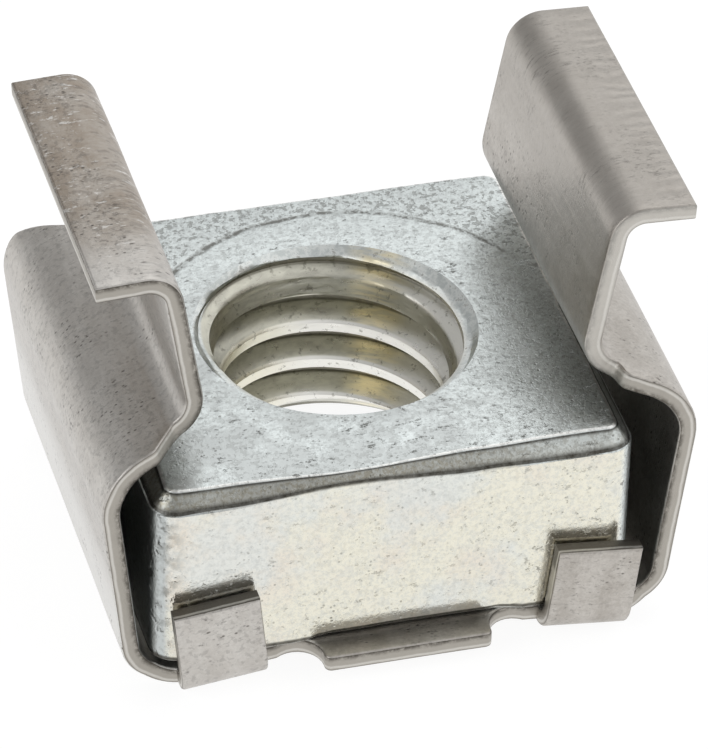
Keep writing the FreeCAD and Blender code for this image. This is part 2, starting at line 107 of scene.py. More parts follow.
def finish_mesh(mesh: bmesh.types.BMesh, name: str,
                materials: list[bpy.types.Material]) -> bpy.types.Object:
    """Turns a finished mesh in millimetres into an object in metres at the origin.

    Args:
        mesh: Mesh in millimetres. It is freed.
        name: Name of the piece.
        materials: Finishes, in the order of the faces' material numbers.

    Returns:
        The linked object.
    """
    bmesh.ops.scale(mesh, vec=(MM, MM, MM), verts=mesh.verts)
    for face in mesh.faces:
        face.smooth = True
    for edge in mesh.edges:
        edge.smooth = edge.calc_face_angle(0.0) < CREASE
    data = bpy.data.meshes.new(name)
    mesh.to_mesh(data)
    mesh.free()
    piece = bpy.data.objects.new(name, data)
    bpy.context.scene.collection.objects.link(piece)
    for material in materials:
        data.materials.append(material)
    return piece


def heading_vector(degrees: float) -> Vector:
    """Unit vector in the XZ plane at an angle above +X."""
    return Vector((math.cos(math.radians(degrees)), 0, math.sin(math.radians(degrees))))


def direction(azimuth: float, elevation: float) -> Vector:
    """Unit vector at an azimuth, from the front to the right, and an elevation, in radians."""
    level = math.cos(elevation)
    return Vector((math.sin(azimuth) * level, -math.cos(azimuth) * level, math.sin(elevation)))


def arc(centre: Vector, radius: float, angles: Iterable[float]) -> list[tuple[float, float]]:
    """Points of an arc in the flat blank.

    Args:
        centre: Centre of the arc.
        radius: Its radius.
        angles: Degrees above +X, in order.

    Returns:
        The points, as pairs of the place along the blank and the place across it.
    """
    ways = [math.radians(angle) for angle in angles]
    return [(centre.x + radius * math.cos(way), centre.y + radius * math.sin(way)) for way in ways]


@dataclass
class Stretch:
    """One straight run or one bend of the folded sheet's outer side."""

    start: Vector
    heading: float
    length: float
    radius: float = 0.0

    def at(self, along: float) -> tuple[Vector, float]:
        """Follows the stretch for some way. A negative radius bends to the right.

        Args:
            along: Distance from its start.

        Returns:
            The point reached, and the heading there in degrees above +X.
        """
        if self.radius == 0:
            return self.start + heading_vector(self.heading) * along, self.heading
        heading = self.heading + math.degrees(along / self.radius)
        centre = self.start + heading_vector(self.heading + 90) * self.radius
        return centre - heading_vector(heading + 90) * self.radius, heading


@dataclass
class FoldPath:
    """Path of the sheet's outer side, from the middle of the floor to the tip of the right lip."""

    sheet: float
    point: Vector = field(default_factory=lambda: Vector((0, 0, 0)))
    heading: float = 0.0
    stretches: list[Stretch] = field(default_factory=list)

    def run(self, length: float) -> None:
        """Goes straight ahead."""
        self.stretches.append(Stretch(self.point, self.heading, length))
        self.point = self.stretches[-1].at(length)[0]

    def turn(self, inside_radius: float, angle: float) -> None:
        """Bends round.

        Args:
            inside_radius: Radius of the bend on its inside.
            angle: Degrees to bend through, to the left for a positive angle.
        """
        radius = inside_radius + self.sheet if angle > 0 else -inside_radius
        length = abs(math.radians(angle) * radius)
        stretch = Stretch(self.point, self.heading, length, radius)
        self.stretches.append(stretch)
        self.point, self.heading = stretch.at(length)

    def run_then_turn(self, inside_radius: float, angle: float, axis: Axis, target: float,
                      inside: bool = False) -> None:
        """Goes straight and then bends, so that the bend ends at a coordinate.

        Args:
            inside_radius: Radius of the bend on its inside.
            angle: Degrees to bend through.
            axis: X or Z.
            target: Coordinate where the bend ends.
            inside: True where the coordinate is that of the sheet's inner side.
        """
        start, heading = self.point.copy(), self.heading
        self.turn(inside_radius, angle)
        reached = self.point + heading_vector(self.heading + 90) * (self.sheet if inside else 0)
        self.stretches.pop()
        self.point, self.heading = start, heading
        self.run((target - reached.dot(axis.value)) / heading_vector(heading).dot(axis.value))
        self.turn(inside_radius, angle)

    @property
    def length(self) -> float:
        """Length from the middle to the tip."""
        return sum(stretch.length for stretch in self.stretches)

    def starts(self) -> list[float]:
        """Lists where each stretch begins.

        Returns:
            The places along the path, with the end of the last stretch.
        """
        places = [0.0]
        for stretch in self.stretches:
            places.append(places[-1] + stretch.length)
        return places

    def at(self, along: float) -> tuple[Vector, Vector]:
        """Follows the path to a place.

        Args:
            along: Distance from the middle of the floor.

        Returns:
            The point of the outer side, and the direction from it to the inner side.
        """
        for stretch in self.stretches:
            if along <= stretch.length or stretch is self.stretches[-1]:
                point, heading = stretch.at(along)
                return point, heading_vector(heading + 90)
            along -= stretch.length
        raise ValueError("the path has no stretches")

    def place_of(self, x: float, low: float, high: float, depth: float = 0.0) -> float:
        """Finds the place between two others where the sheet reaches an X.

        Args:
            x: Coordinate to reach.
            low: Place on one side of it.
            high: Place on the other side.
            depth: Distance under the outer side at which X is measured.

        Returns:
            The place along the path.
        """
        def reach(place: float) -> float:
            """X of the sheet at a place."""
            point, inward = self.at(place)
            return (point + inward * depth).x

        rising = reach(high) > reach(low)
        for _ in range(40):
            middle = (low + high) / 2
            if (reach(middle) < x) == rising:
                low = middle
            else:
                high = middle
        return (low + high) / 2


@dataclass(frozen=True)
class Flare:
    """How one corner of the blank widens from the leg to the wall, first steeply, then gently."""

    steepness: float
    taper_share: float
    setback: float = 0.0


@dataclass
class SpringCage:
    """Folded spring-steel cage with a pierced floor, four tabs, two tongues and two legs.

    Angles are in degrees. A half is measured from the middle line, across the blank.
    """

    # Section of the folded sheet
    sheet: float = 0.4
    seat_half: float = 1.87
    crown_radius: float = 9.5
    floor_slope: float = 6.5
    bend_radius: float = 0.68
    wall_lean: float = 6.7
    top_radius: float = 1.0
    shoulder_slope: float = 19.0
    neck_radius: float = 0.6
    leg_lean: float = 9.8
    lip_radius: float = 0.4
    lip_droop: float = 2.5
    lip_reach: float = 1.07
    wall_foot: float = 5.755
    neck_reach: float = 4.59
    grip: float = 3.5
    lift: float = 0.44
    seat_gap: float = 0.03
    nut_height: float = 4.4
    # Outline of the flat blank, with its tabs
    wall_half: float = 4.72
    leg_half: float = 3.91
    floor_half: float = 4.96
    tongue_half: float = 5.71
    tongue_corner: float = 0.15
    notch_depth: float = 0.08
    corner_blend: float = 0.7
    tab_inset: float = 0.12
    tab_radius: float = 0.25
    tab_height: float = 2.3
    floor_hole: float = 7.5
    flare_taper: float = 16.0
    flare_radius: float = 0.25
    # Eased edges, unevenness of the sheet, and spacing of the cuts that let it bend
    edge_round: float = 0.06
    wave: float = 0.012
    wave_rate: float = 0.45
    cell: float = 0.45
    tab_cell: float = 0.4
    cut_angle: float = 6.0
    # Corners of the blank, as seen from above
    front_right: Flare = Flare(75.0, 0.42)
    front_left: Flare = Flare(45.0, 0.29)
    back_right: Flare = Flare(45.0, 0.29)
    back_left: Flare = Flare(44.0, 0.03, 0.5)

    def __post_init__(self) -> None:
        """Works out the folded path, with its lowest line at height zero."""
        path = FoldPath(self.sheet)
        path.run(self.seat_half)
        path.turn(self.crown_radius, -self.floor_slope)
        path.run_then_turn(self.bend_radius, self.floor_slope + 90 - self.wall_lean,
                           Axis.X, self.wall_foot, inside=True)
        top = self.sheet + self.seat_gap + self.nut_height + self.lift
        path.run_then_turn(self.top_radius, 90 - self.shoulder_slope + self.wall_lean,
                           Axis.Z, top, inside=True)
        path.run_then_turn(self.neck_radius, self.shoulder_slope - self.leg_lean - 90,
                           Axis.X, self.neck_reach)
        shoulder_end = path.stretches[-1].start.z
        path.run_then_turn(self.lip_radius, self.leg_lean - 90 - self.lip_droop,
                           Axis.Z, shoulder_end + self.grip)
        path.run(self.lip_reach / math.cos(math.radians(self.lip_droop)))
        bend = path.stretches[Mark.FLOOR_BEND.value]
        outer = self.bend_radius + self.sheet
        lowest = (bend.start + heading_vector(bend.heading + 90) * outer).z - outer
        for stretch in path.stretches:
            stretch.start = stretch.start - Vector((0, 0, lowest))
        self.path = path
        places = path.starts()
        self.ramp_start, self.ramp_end = places[Mark.RAMP.value], places[Mark.FLOOR_BEND.value]
        self.wall_start, self.wall_end = places[Mark.WALL.value], places[Mark.TOP_BEND.value]
        self.leg_start = places[Mark.LEG.value]
        self.tab_start = self.ramp_start + self.tab_inset

    @property
    def tab_middle(self) -> float:
        """Radius of a tab's bend at the middle of the sheet."""
        return self.tab_radius + self.sheet / 2

    def floor_edge(self) -> list[tuple[float, float]]:
        """Draws the edge of a quarter of the floor in the flat blank.

        Returns:
            Points from the middle line to the wall, as pairs of place along and place across.
        """
        tab_length = self.tab_middle * math.pi / 2 + self.tab_height - self.tab_radius - self.sheet
        tab_tip = self.floor_half + tab_length
        notch = (self.tab_start - self.seat_half) / 2
        centre = Vector((self.seat_half + notch, self.floor_half - self.notch_depth + notch))
        end = 180 - math.degrees(math.asin((notch - self.notch_depth) / notch))
        corner = Vector((self.seat_half - self.tongue_corner, self.tongue_half - self.tongue_corner))
        steps = 10
        edge = [(0.0, self.tongue_half)]
        edge += arc(corner, self.tongue_corner, range(90, -1, -18))
        edge += arc(centre, notch, [180 + end * step / steps for step in range(steps + 1)])
        edge += [(self.tab_start, self.floor_half), (self.tab_start, tab_tip),
                 (self.ramp_end, tab_tip), (self.ramp_end, self.floor_half)]
        blend_x = self.path.at(self.ramp_end)[0].x + self.corner_blend
        edge.append((self.path.place_of(blend_x, self.ramp_end, self.wall_start), self.wall_half))
        return edge

    def flare_edge(self, flare: Flare) -> list[tuple[float, float]]:
        """Draws the edge of one corner of the flat blank.

        Args:
            flare: Shape of that corner, given as it is seen from above.

        Returns:
            Points from the wall's line to the leg's line.
        """
        step = self.wall_half - self.leg_half
        steep, taper = math.radians(flare.steepness), math.radians(self.flare_taper)
        first = self.neck_reach + flare.setback
        rise = step * (1 - flare.taper_share)
        bend_x = first + self.flare_radius * math.tan(steep / 2) + rise / math.tan(steep)
        trim = self.flare_radius * math.tan((steep - taper) / 2)
        last = Vector((bend_x + (step - rise) / math.tan(taper), self.wall_half))
        bend = Vector((bend_x, self.leg_half + rise))
        start = bend + Vector((math.cos(taper), math.sin(taper))) * trim
        points = [tuple(last.lerp(start, share)) for share in (0, 0.33, 0.67)]
        outer = start + Vector((math.sin(taper), -math.cos(taper))) * self.flare_radius
        swing = flare.steepness - self.flare_taper
        angles = [self.flare_taper + swing * share + 90 for share in (0, 0.33, 0.67, 1)]
        points += arc(outer, self.flare_radius, angles)
        inner = Vector((first, self.leg_half + self.flare_radius))
        angles = [flare.steepness * (1 - share) - 90 for share in (0, 0.25, 0.5, 0.75, 1)]
        points += arc(inner, self.flare_radius, angles)
        ends = (self.wall_end, self.leg_start)
        return [(self.path.place_of(x, *ends, depth=self.sheet), y) for x, y in points]

    def half_outline(self, side: int, right: Flare, left: Flare) -> list[Vector]:
        """Draws the outline of the front or the back half of the flat blank, hole included.

        Args:
            side: -1 for the front half, 1 for the back half.
            right: Flare of its right corner.
            left: Flare of its left corner.

        Returns:
            The outline's points, at height zero.
        """
        length = self.path.length
        hole = arc(Vector((0, 0)), self.floor_hole / 2, range(180, -1, -6))
        edge_right = self.floor_edge() + self.flare_edge(right) + [(length, self.leg_half)]
        edge_left = self.floor_edge()[1:] + self.flare_edge(left) + [(length, self.leg_half)]
        points = hole + [(length, 0.0)] + edge_right[::-1]
        points += [(-along, across) for along, across in edge_left] + [(-length, 0.0)]
        return [Vector((along, side * across, 0)) for along, across in points]

    def blank(self) -> bmesh.types.BMesh:
        """Makes the flat blank with its thickness and its eased edges.

        Returns:
            The mesh, still uncut by folds.
        """
        mesh = bmesh.new()
        halves = ((-1, self.front_right, self.front_left), (1, self.back_right, self.back_left))
        for side, right, left in halves:
            mesh.faces.new([mesh.verts.new(point) for point in self.half_outline(side, right, left)])
        bmesh.ops.remove_doubles(mesh, verts=mesh.verts, dist=HAIR)
        bmesh.ops.recalc_face_normals(mesh, faces=mesh.faces)
        raised = bmesh.ops.extrude_face_region(mesh, geom=mesh.faces[:], use_keep_orig=True)
        upper = [item for item in raised["geom"] if isinstance(item, bmesh.types.BMVert)]
        bmesh.ops.translate(mesh, verts=upper, vec=(0, 0, self.sheet))
        bmesh.ops.recalc_face_normals(mesh, faces=mesh.faces)
        rims = [edge for edge in mesh.edges if len(edge.link_faces) == 2
                and sum(abs(face.normal.z) > 0.5 for face in edge.link_faces) == 1]
        bmesh.ops.bevel(mesh, geom=rims, offset=self.edge_round, offset_type="OFFSET", segments=3,
                        profile=0.5, affect="EDGES", clamp_overlap=False, material=-1)
        return mesh

    def fold_places(self) -> list[float]:
        """Lists where the right half of the blank is cut so that it can bend.

        Returns:
            Places along the path.
        """
        places = []
        for start, stretch in zip(self.path.starts(), self.path.stretches):
            if stretch.radius:
                angle = math.degrees(stretch.length / abs(stretch.radius))
                parts = max(2, math.ceil(angle / self.cut_angle))
            else:
                parts = max(2, math.ceil(stretch.length / self.cell))
            places += [start + stretch.length * part / parts for part in range(parts)]
        return places + [self.tab_start]

    def fold(self, flat: Vector) -> Vector:
        """Folds one point of the flat blank.

        Args:
            flat: Place along the path, place across it, and depth under the outer side.

        Returns:
            The point of the folded cage.
        """
        along, across, depth = abs(flat.x), flat.y, flat.z
        sway = noise.noise(Vector((flat.x * self.wave_rate, flat.y * self.wave_rate, 3.1))) * self.wave
        point, inward = self.path.at(along)
        past = abs(across) - self.floor_half
        if past > CLOSE and self.tab_start - NEAR <= along <= self.ramp_end + NEAR:
            outer = self.tab_radius + self.sheet
            turn = min(past / self.tab_middle, math.pi / 2)
            upright = max(0.0, past - self.tab_middle * math.pi / 2)
            rise = outer - (outer - depth) * math.cos(turn) + upright
            out = (outer - depth) * math.sin(turn)
            point = point + inward * rise
            across = math.copysign(self.floor_half + out + sway * min(1.0, past), across)
        else:
            point = point + inward * (depth + sway)
        return Vector((math.copysign(point.x, flat.x), across, point.z))

    def build(self, materials: list[bpy.types.Material]) -> bpy.types.Object:
        """Makes the folded cage.

        Args:
            materials: Finish of the rolled faces and finish of the sheared edges.

        Returns:
            The cage.
        """
        mesh = self.blank()
        places = self.fold_places()
        slice_mesh(mesh, Axis.X, places + [-place for place in places if place > 0])
        bend = self.tab_middle * math.pi / 2
        rows = [self.cell * row for row in range(int(self.floor_half / self.cell))]
        rows += [self.floor_half + bend * part / 8 for part in range(9)]
        rows += [self.floor_half + bend + self.tab_cell * part for part in range(1, 5)]
        slice_mesh(mesh, Axis.Y, rows + [-row for row in rows if row > 0])
        flat_place = mesh.verts.layers.float_vector.new("blank")
        for face in mesh.faces:
            face.material_index = 1 if abs(face.normal.z) < 0.5 else 0
        for vert in mesh.verts:
            vert[flat_place] = vert.co
            vert.co = self.fold(vert.co)
        bmesh.ops.recalc_face_normals(mesh, faces=mesh.faces)
        return finish_mesh(mesh, "folded_cage", materials)


@dataclass
class SquareNut:
    """Square nut with rounded corners, eased faces, countersunk mouths and a helical thread."""

    # Corners and thread, with the depth of a crest at the back
    corner: float = 0.6
    pitch: float = 1.0
    minor_radius: float = 2.5
    major_radius: float = 3.02
    crest_depth: float = 1.79
    thread_rounding: float = 0.03
    spare_turns: int = 4
    steps_a_turn: int = 96
    wall_cell: float = 0.3
    # Eased edges, as pairs of inset and distance from the face
    top_edge: Steps = ((0.0, 0.44), (0.035, 0.4), (0.07, 0.34), (0.3, 0.05), (0.34, 0.015), (0.4, 0.0))
    foot_edge: Steps = ((0.0, 0.3), (0.01, 0.22), (0.04, 0.16), (0.16, 0.04), (0.24, 0.0))
    # Countersunk mouths, as pairs of depth and radius, the upper one wider at the front
    top_mouth: Steps = ((0.0, 3.12), (0.16, 2.92), (0.2, 2.76), (0.6, 2.72), (1.08, 2.54), (1.3, 2.4))
    foot_mouth: Steps = ((0.0, 3.1), (0.7, 2.4))
    front_relief: float = 0.16
    # Unevenness of the eased edges, with the narrow place and the torn strip of the front
    edge_share: float = 0.92
    edge_sway: float = 0.16
    back_sway: float = 0.07
    sway_rate: float = 0.9
    front_extra: float = 0.12
    narrow_by: float = 0.5
    narrow_at: float = -0.9
    narrow_reach: float = 1.7
    least_share: float = 0.3
    most_share: float = 1.2
    torn_from: float = -1.8
    torn_to: float = 2.6

    def __post_init__(self) -> None:
        """Takes the nut's place and size from the frame."""
        low, high = (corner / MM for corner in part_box("square_nut"))
        self.centre = Vector(((low.x + high.x) / 2, (low.y + high.y) / 2, 0))
        self.half = Vector(((high.x - low.x) / 2, (high.y - low.y) / 2))
        self.foot, self.top = low.z, high.z

    def core_point(self, point: Vector) -> Vector:
        """Finds the nearest point of the rectangle between the corners' centres.

        Args:
            point: Any point, seen from above.

        Returns:
            The point of that rectangle, in two dimensions.
        """
        reach = self.half - Vector((self.corner, self.corner))
        return Vector((max(-reach.x, min(reach.x, point.x)), max(-reach.y, min(reach.y, point.y))))

    def outward(self, point: Vector) -> Vector:
        """Direction square to the outline at a point, seen from above."""
        return (point.xy - self.core_point(point)).normalized()

    def outline_point(self, point: Vector) -> Vector:
        """Nearest point of the outline at the height of another point."""
        place = self.core_point(point) + self.outward(point) * self.corner
        return Vector((place.x, place.y, point.z))

    def unevenness(self, point: Vector, at_foot: bool) -> float:
        """Says how wide the eased edge is at a point.

        Args:
            point: Point of the outline.
            at_foot: True for the lower edge, which is torn in the middle of its front.

        Returns:
            The width there as a share of the usual width.
        """
        at_front = point.y < 0
        sway = self.edge_sway if at_front or at_foot else self.back_sway
        spot = Vector((point.x * self.sway_rate, point.y * self.sway_rate, 7.0 if at_foot else 2.0))
        share = self.edge_share + sway * noise.noise(spot)
        if at_front and not at_foot:
            away = (point.x - self.narrow_at) / self.narrow_reach
            share += self.front_extra - self.narrow_by * math.exp(-away ** 2)
        if at_front and at_foot:
            inside = min(point.x - self.torn_from, self.torn_to - point.x)
            share *= 0.4 + 0.75 * max(0.0, min(1.0, inside * 2 + 0.5))
        return max(self.least_share, min(self.most_share, share))

    def ease_edge(self, mesh: bmesh.types.BMesh, level: float, steps: Steps, at_foot: bool) -> None:
        """Extrudes the open edge of the walls inwards over the eased edge.

        Args:
            mesh: Mesh that holds the four walls.
            level: Height of the face that the edge leads to.
            steps: Pairs of inset and distance from that face.
            at_foot: True for the lower edge.
        """
        base = level + (steps[0][1] if at_foot else -steps[0][1])
        eased = mesh.verts.layers.float["eased"]
        ring = [edge for edge in mesh.edges if edge.is_boundary
                and all(abs(vert.co.z - base) < CLOSE for vert in edge.verts)]
        for step, (inset, distance) in enumerate(steps[1:], start=1):
            made = bmesh.ops.extrude_edge_only(mesh, edges=ring)["geom"]
            ring = [item for item in made if isinstance(item, bmesh.types.BMEdge) and item.is_boundary]
            for vert in {vert for edge in ring for vert in edge.verts}:
                outline = self.outline_point(vert.co)
                share = self.unevenness(outline, at_foot)
                place = outline.xy - self.outward(outline) * inset * share
                height = level + (distance if at_foot else -distance) * share
                vert.co = (place.x, place.y, height)
                vert[eased] = step / (len(steps) - 1)

    def add_walls(self, mesh: bmesh.types.BMesh) -> None:
        """Adds the four walls with rounded corners and both eased edges.

        Args:
            mesh: Empty mesh with the layer "eased".
        """
        low = self.foot + self.foot_edge[0][1]
        high = self.top - self.top_edge[0][1]
        size = Matrix.Diagonal((2 * self.half.x, 2 * self.half.y, high - low, 1))
        middle = Matrix.Translation((0, 0, (low + high) / 2))
        bmesh.ops.create_cube(mesh, size=1, matrix=middle @ size)
        upright = [edge for edge in mesh.edges if abs(edge.verts[0].co.z - edge.verts[1].co.z) > NEAR]
        bmesh.ops.bevel(mesh, geom=upright, offset=self.corner, offset_type="OFFSET", segments=8,
                        profile=0.5, affect="EDGES", clamp_overlap=False, material=-1)
        caps = [face for face in mesh.faces if abs(face.normal.z) > 0.5]
        bmesh.ops.delete(mesh, geom=caps, context="FACES_ONLY")
        for axis, reach in ((Axis.X, self.half.x - self.corner), (Axis.Y, self.half.y - self.corner)):
            count = round(2 * reach / self.wall_cell)
            slice_mesh(mesh, axis, [reach * (2 * part / count - 1) for part in range(count + 1)])
        count = round((high - low) / self.wall_cell)
        slice_mesh(mesh, Axis.Z, [low + (high - low) * part / count for part in range(1, count)])
        self.ease_edge(mesh, self.top, self.top_edge, at_foot=False)
        self.ease_edge(mesh, self.foot, self.foot_edge, at_foot=True)

    def mouth_radius(self, steps: Steps, depth: float) -> float:
        """Reads the radius of a countersunk mouth.

        Args:
            steps: Pairs of depth and radius, from the face downwards.
            depth: Depth under the face.

        Returns:
            The radius at that depth, or 0 below the mouth.
        """
        for (above, wide), (below, narrow) in zip(steps, steps[1:]):
            if depth <= below:
                return wide + (narrow - wide) * (depth - above) / (below - above)
        return 0.0

    def add_thread(self, mesh: bmesh.types.BMesh) -> None:
        """Adds the bore: one pitch of the thread's section, spun upwards and trimmed.

        Args:
            mesh: Empty mesh.
        """
        turns = math.ceil((self.top - self.foot) / self.pitch) + self.spare_turns
        minor, major, soft = self.minor_radius, self.major_radius, self.thread_rounding
        section = ((major, 0.0), (major, 0.1), (major - soft, 0.14), (minor + soft, 0.415),
                   (minor, 0.445), (minor, 0.665), (minor + soft, 0.695), (major - soft, 0.97),
                   (major, 1.0))
        crest = (section[4][1] + section[5][1]) / 2
        quarter = 0.25
        sunk = (crest + quarter + turns - self.spare_turns) * self.pitch
        base = self.top - self.crest_depth - sunk
        points = [mesh.verts.new((radius, 0, base + share * self.pitch)) for radius, share in section]
        line = [mesh.edges.new(pair) for pair in zip(points, points[1:])]
        long_edges = [edge for edge in line if edge.calc_length() > 0.2 * self.pitch]
        bmesh.ops.subdivide_edges(mesh, edges=long_edges, cuts=5)
        count = self.steps_a_turn
        bmesh.ops.spin(mesh, geom=mesh.verts[:] + mesh.edges[:], cent=(0, 0, 0), axis=(0, 0, 1),
                       dvec=(0, 0, self.pitch / count), angle=2 * math.pi * turns, steps=turns * count)
        bmesh.ops.remove_doubles(mesh, verts=mesh.verts, dist=NEAR)
        for level, side in ((self.top, 1), (self.foot, -1)):
            geometry = mesh.verts[:] + mesh.edges[:] + mesh.faces[:]
            bmesh.ops.bisect_plane(mesh, geom=geometry, dist=CLOSE, plane_co=(0, 0, level),
                                   plane_no=(0, 0, side), clear_outer=True)
        slice_mesh(mesh, Axis.Z, [self.top - depth for depth, _ in self.top_mouth[1:-1]])
        for vert in mesh.verts:
            radius = vert.co.xy.length
            depth = self.top - vert.co.z
            at_front = max(0.0, -vert.co.y / radius)
            under_rim = min(1.0, depth / self.top_mouth[1][0])
            wider = self.front_relief * at_front * under_rim
            wide = max(radius, self.mouth_radius(self.top_mouth, depth) + wider,
                       self.mouth_radius(self.foot_mouth, vert.co.z - self.foot))
            vert.co.xy = vert.co.xy * (wide / radius)

    def build(self, materials: list[bpy.types.Material]) -> bpy.types.Object:
        """Makes the nut.

        Args:
            materials: Finish of the plated block and finish of the thread.

        Returns:
            The nut.
        """
        mesh = bmesh.new()
        self.add_thread(mesh)
        for face in mesh.faces:
            face.material_index = 1
        eased = mesh.verts.layers.float.new("eased")
        for vert in mesh.verts:
            vert[eased] = 1.0
        block = bmesh.new()
        block.verts.layers.float.new("eased")
        self.add_walls(block)
        shell = bpy.data.meshes.new("walls")
        block.to_mesh(shell)
        block.free()
        mesh.from_mesh(shell)
        bpy.data.meshes.remove(shell)
        for level in (self.top, self.foot):
            rims = [edge for edge in mesh.edges if edge.is_boundary
                    and all(abs(vert.co.z - level) < NEAR for vert in edge.verts)]
            bmesh.ops.triangle_fill(mesh, use_beauty=True, edges=rims)
        bmesh.ops.recalc_face_normals(mesh, faces=mesh.faces)
        bmesh.ops.translate(mesh, verts=mesh.verts, vec=self.centre)
        open_edges = sum(not edge.is_manifold for edge in mesh.edges)
        LOG.info("nut: %d faces, %d open edges", len(mesh.faces), open_edges)
        return finish_mesh(mesh, "threaded_nut", materials)


class Value:
    """An output socket that can be written into an expression."""

    def __init__(self, graph: "Graph", source: object) -> None:
        """Wraps an output socket of a graph."""
        self.graph = graph
        self.source = source

    def __add__(self, other: object) -> "Value":
        """Sum."""
        return self.graph.maths("ADD", self, other)

    def __sub__(self, other: object) -> "Value":
        """Difference."""
        return self.graph.maths("SUBTRACT", self, other)

    def __rsub__(self, other: object) -> "Value":
        """Difference with the value second."""
        return self.graph.maths("SUBTRACT", other, self)

    def __mul__(self, other: object) -> "Value":
        """Product."""
        return self.graph.maths("MULTIPLY", self, other)

    def __truediv__(self, other: object) -> "Value":
        """Quotient."""
        return self.graph.maths("DIVIDE", self, other)

    def __pow__(self, other: object) -> "Value":
        """Power."""
        return self.graph.maths("POWER", self, other)

    def __abs__(self) -> "Value":
        """Size without the sign."""
        return self.graph.maths("ABSOLUTE", self)

    __radd__ = __add__
    __rmul__ = __mul__


class Graph:
    """Node tree of a material or of the world."""

    def __init__(self, owner: bpy.types.Material | bpy.types.World) -> None:
        """Empties a node tree.

        Args:
            owner: Material or world whose tree it is.
        """
        self.owner = owner
        owner.use_nodes = True
        self.tree = owner.node_tree
        self.tree.nodes.clear()

    def node(self, kind: str, settings: dict | None = None, out: int | str = 0,
             **sockets: object) -> Value:
        """Adds a node.

        Args:
            kind: Type of the node, without the word ShaderNode.
            settings: Properties, which are set first. "stops" fills a colour ramp.
            out: Name or number of the output to return.
            sockets: Values or links by input name, with underscores for its spaces, or by number
                as n0, n1.

        Returns:
            The chosen output.
        """
        made = self.tree.nodes.new("ShaderNode" + kind)
        for key, value in (settings or {}).items():
            if key == "stops":
                elements = made.color_ramp.elements
                while len(elements) < len(value):
                    elements.new(0.5)
                for element, (place, colour) in zip(elements, value):
                    element.position = place
                    element.color = (*colour, 1)
            else:
                setattr(made, key, value)
        for key, value in sockets.items():
            numbered = key[0] == "n" and key[1:].isdigit()
            socket = made.inputs[int(key[1:])] if numbered else made.inputs[key.replace("_", " ")]
            self.feed(socket, value)
        return Value(self, made.outputs[out] if made.outputs else made)

    def feed(self, socket: bpy.types.NodeSocket, value: object) -> None:
        """Links or sets one input.

        Args:
            socket: Input of a node.
            value: Output to link, or the number, vector or colour to set.
        """
        if isinstance(value, Value):
            self.tree.links.new(value.source, socket)
        elif hasattr(socket.default_value, "__len__") and not hasattr(value, "__len__"):
            socket.default_value = [value] * len(socket.default_value)
        elif hasattr(value, "__len__") and len(socket.default_value) == 4:
            socket.default_value = (*value[:3], 1)
        else:
            socket.default_value = value

    def maths(self, operation: str, first: object, second: object = 0.0) -> Value:
        """Adds a Math node."""
        return self.node("Math", {"operation": operation}, n0=first, n1=second)

    def step(self, value: Value, low: float, high: float) -> Value:
        """Smooth step from 0 at one value to 1 at another."""
        return self.node("MapRange", {"interpolation_type": "SMOOTHSTEP"}, Value=value, From_Min=low,
                         From_Max=high)

    def between(self, value: Value, rise: tuple[float, float], fall: tuple[float, float]) -> Value:
        """Smooth band that rises to 1 over one range and falls back to 0 over another."""
        return self.step(value, *rise) * (1 - self.step(value, *fall))

    def most(self, first: object, second: object) -> Value:
        """Larger of two values."""
        return self.maths("MAXIMUM", first, second)

    def mix(self, share: object, first: object, second: object) -> Value:
        """Mixes two colours."""
        return self.node("Mix", {"data_type": "RGBA"}, out=2, n0=share, n6=first, n7=second)

    def scaled(self, vector: Value, scale: tuple) -> Value:
        """Stretches a vector."""
        return self.node("VectorMath", {"operation": "MULTIPLY"}, n0=vector, n1=scale)

    def noise(self, vector: Value, scale: float, detail: float = 3.0, roughness: float = 0.5) -> Value:
        """Noise from 0 to 1."""
        return self.node("TexNoise", Vector=vector, Scale=scale, Detail=detail, Roughness=roughness)

    def cells(self, vector: Value, scale: float) -> Value:
        """Distance to the nearest of many scattered points."""
        return self.node("TexVoronoi", Vector=vector, Scale=scale)

    def parts(self, vector: Value) -> list[Value]:
        """Splits a vector into its three numbers."""
        node = self.node("SeparateXYZ", n0=vector).source.node
        return [Value(self, output) for output in node.outputs]

    def millimetres(self) -> Value:
        """Object coordinates in millimetres."""
        return self.scaled(self.node("TexCoord", out="Object"), (1 / MM,) * 3)

    def surface(self, colour: object, roughness: object, height: object,
                depth: float) -> bpy.types.Material:
        """Ends the graph in a metal surface.

        Args:
            colour: Base colour.
            roughness: Roughness.
            height: Height from 0 to 1 for the bump.
            depth: Depth of the bump in millimetres.

        Returns:
            The finished material.
        """
        normal = self.node("Bump", Strength=1.0, Distance=depth * MM, Height=height)
        shader = self.node("BsdfPrincipled", Base_Color=colour, Metallic=1.0, Roughness=roughness,
                           Normal=normal)
        self.node("OutputMaterial", Surface=shader)
        return self.owner


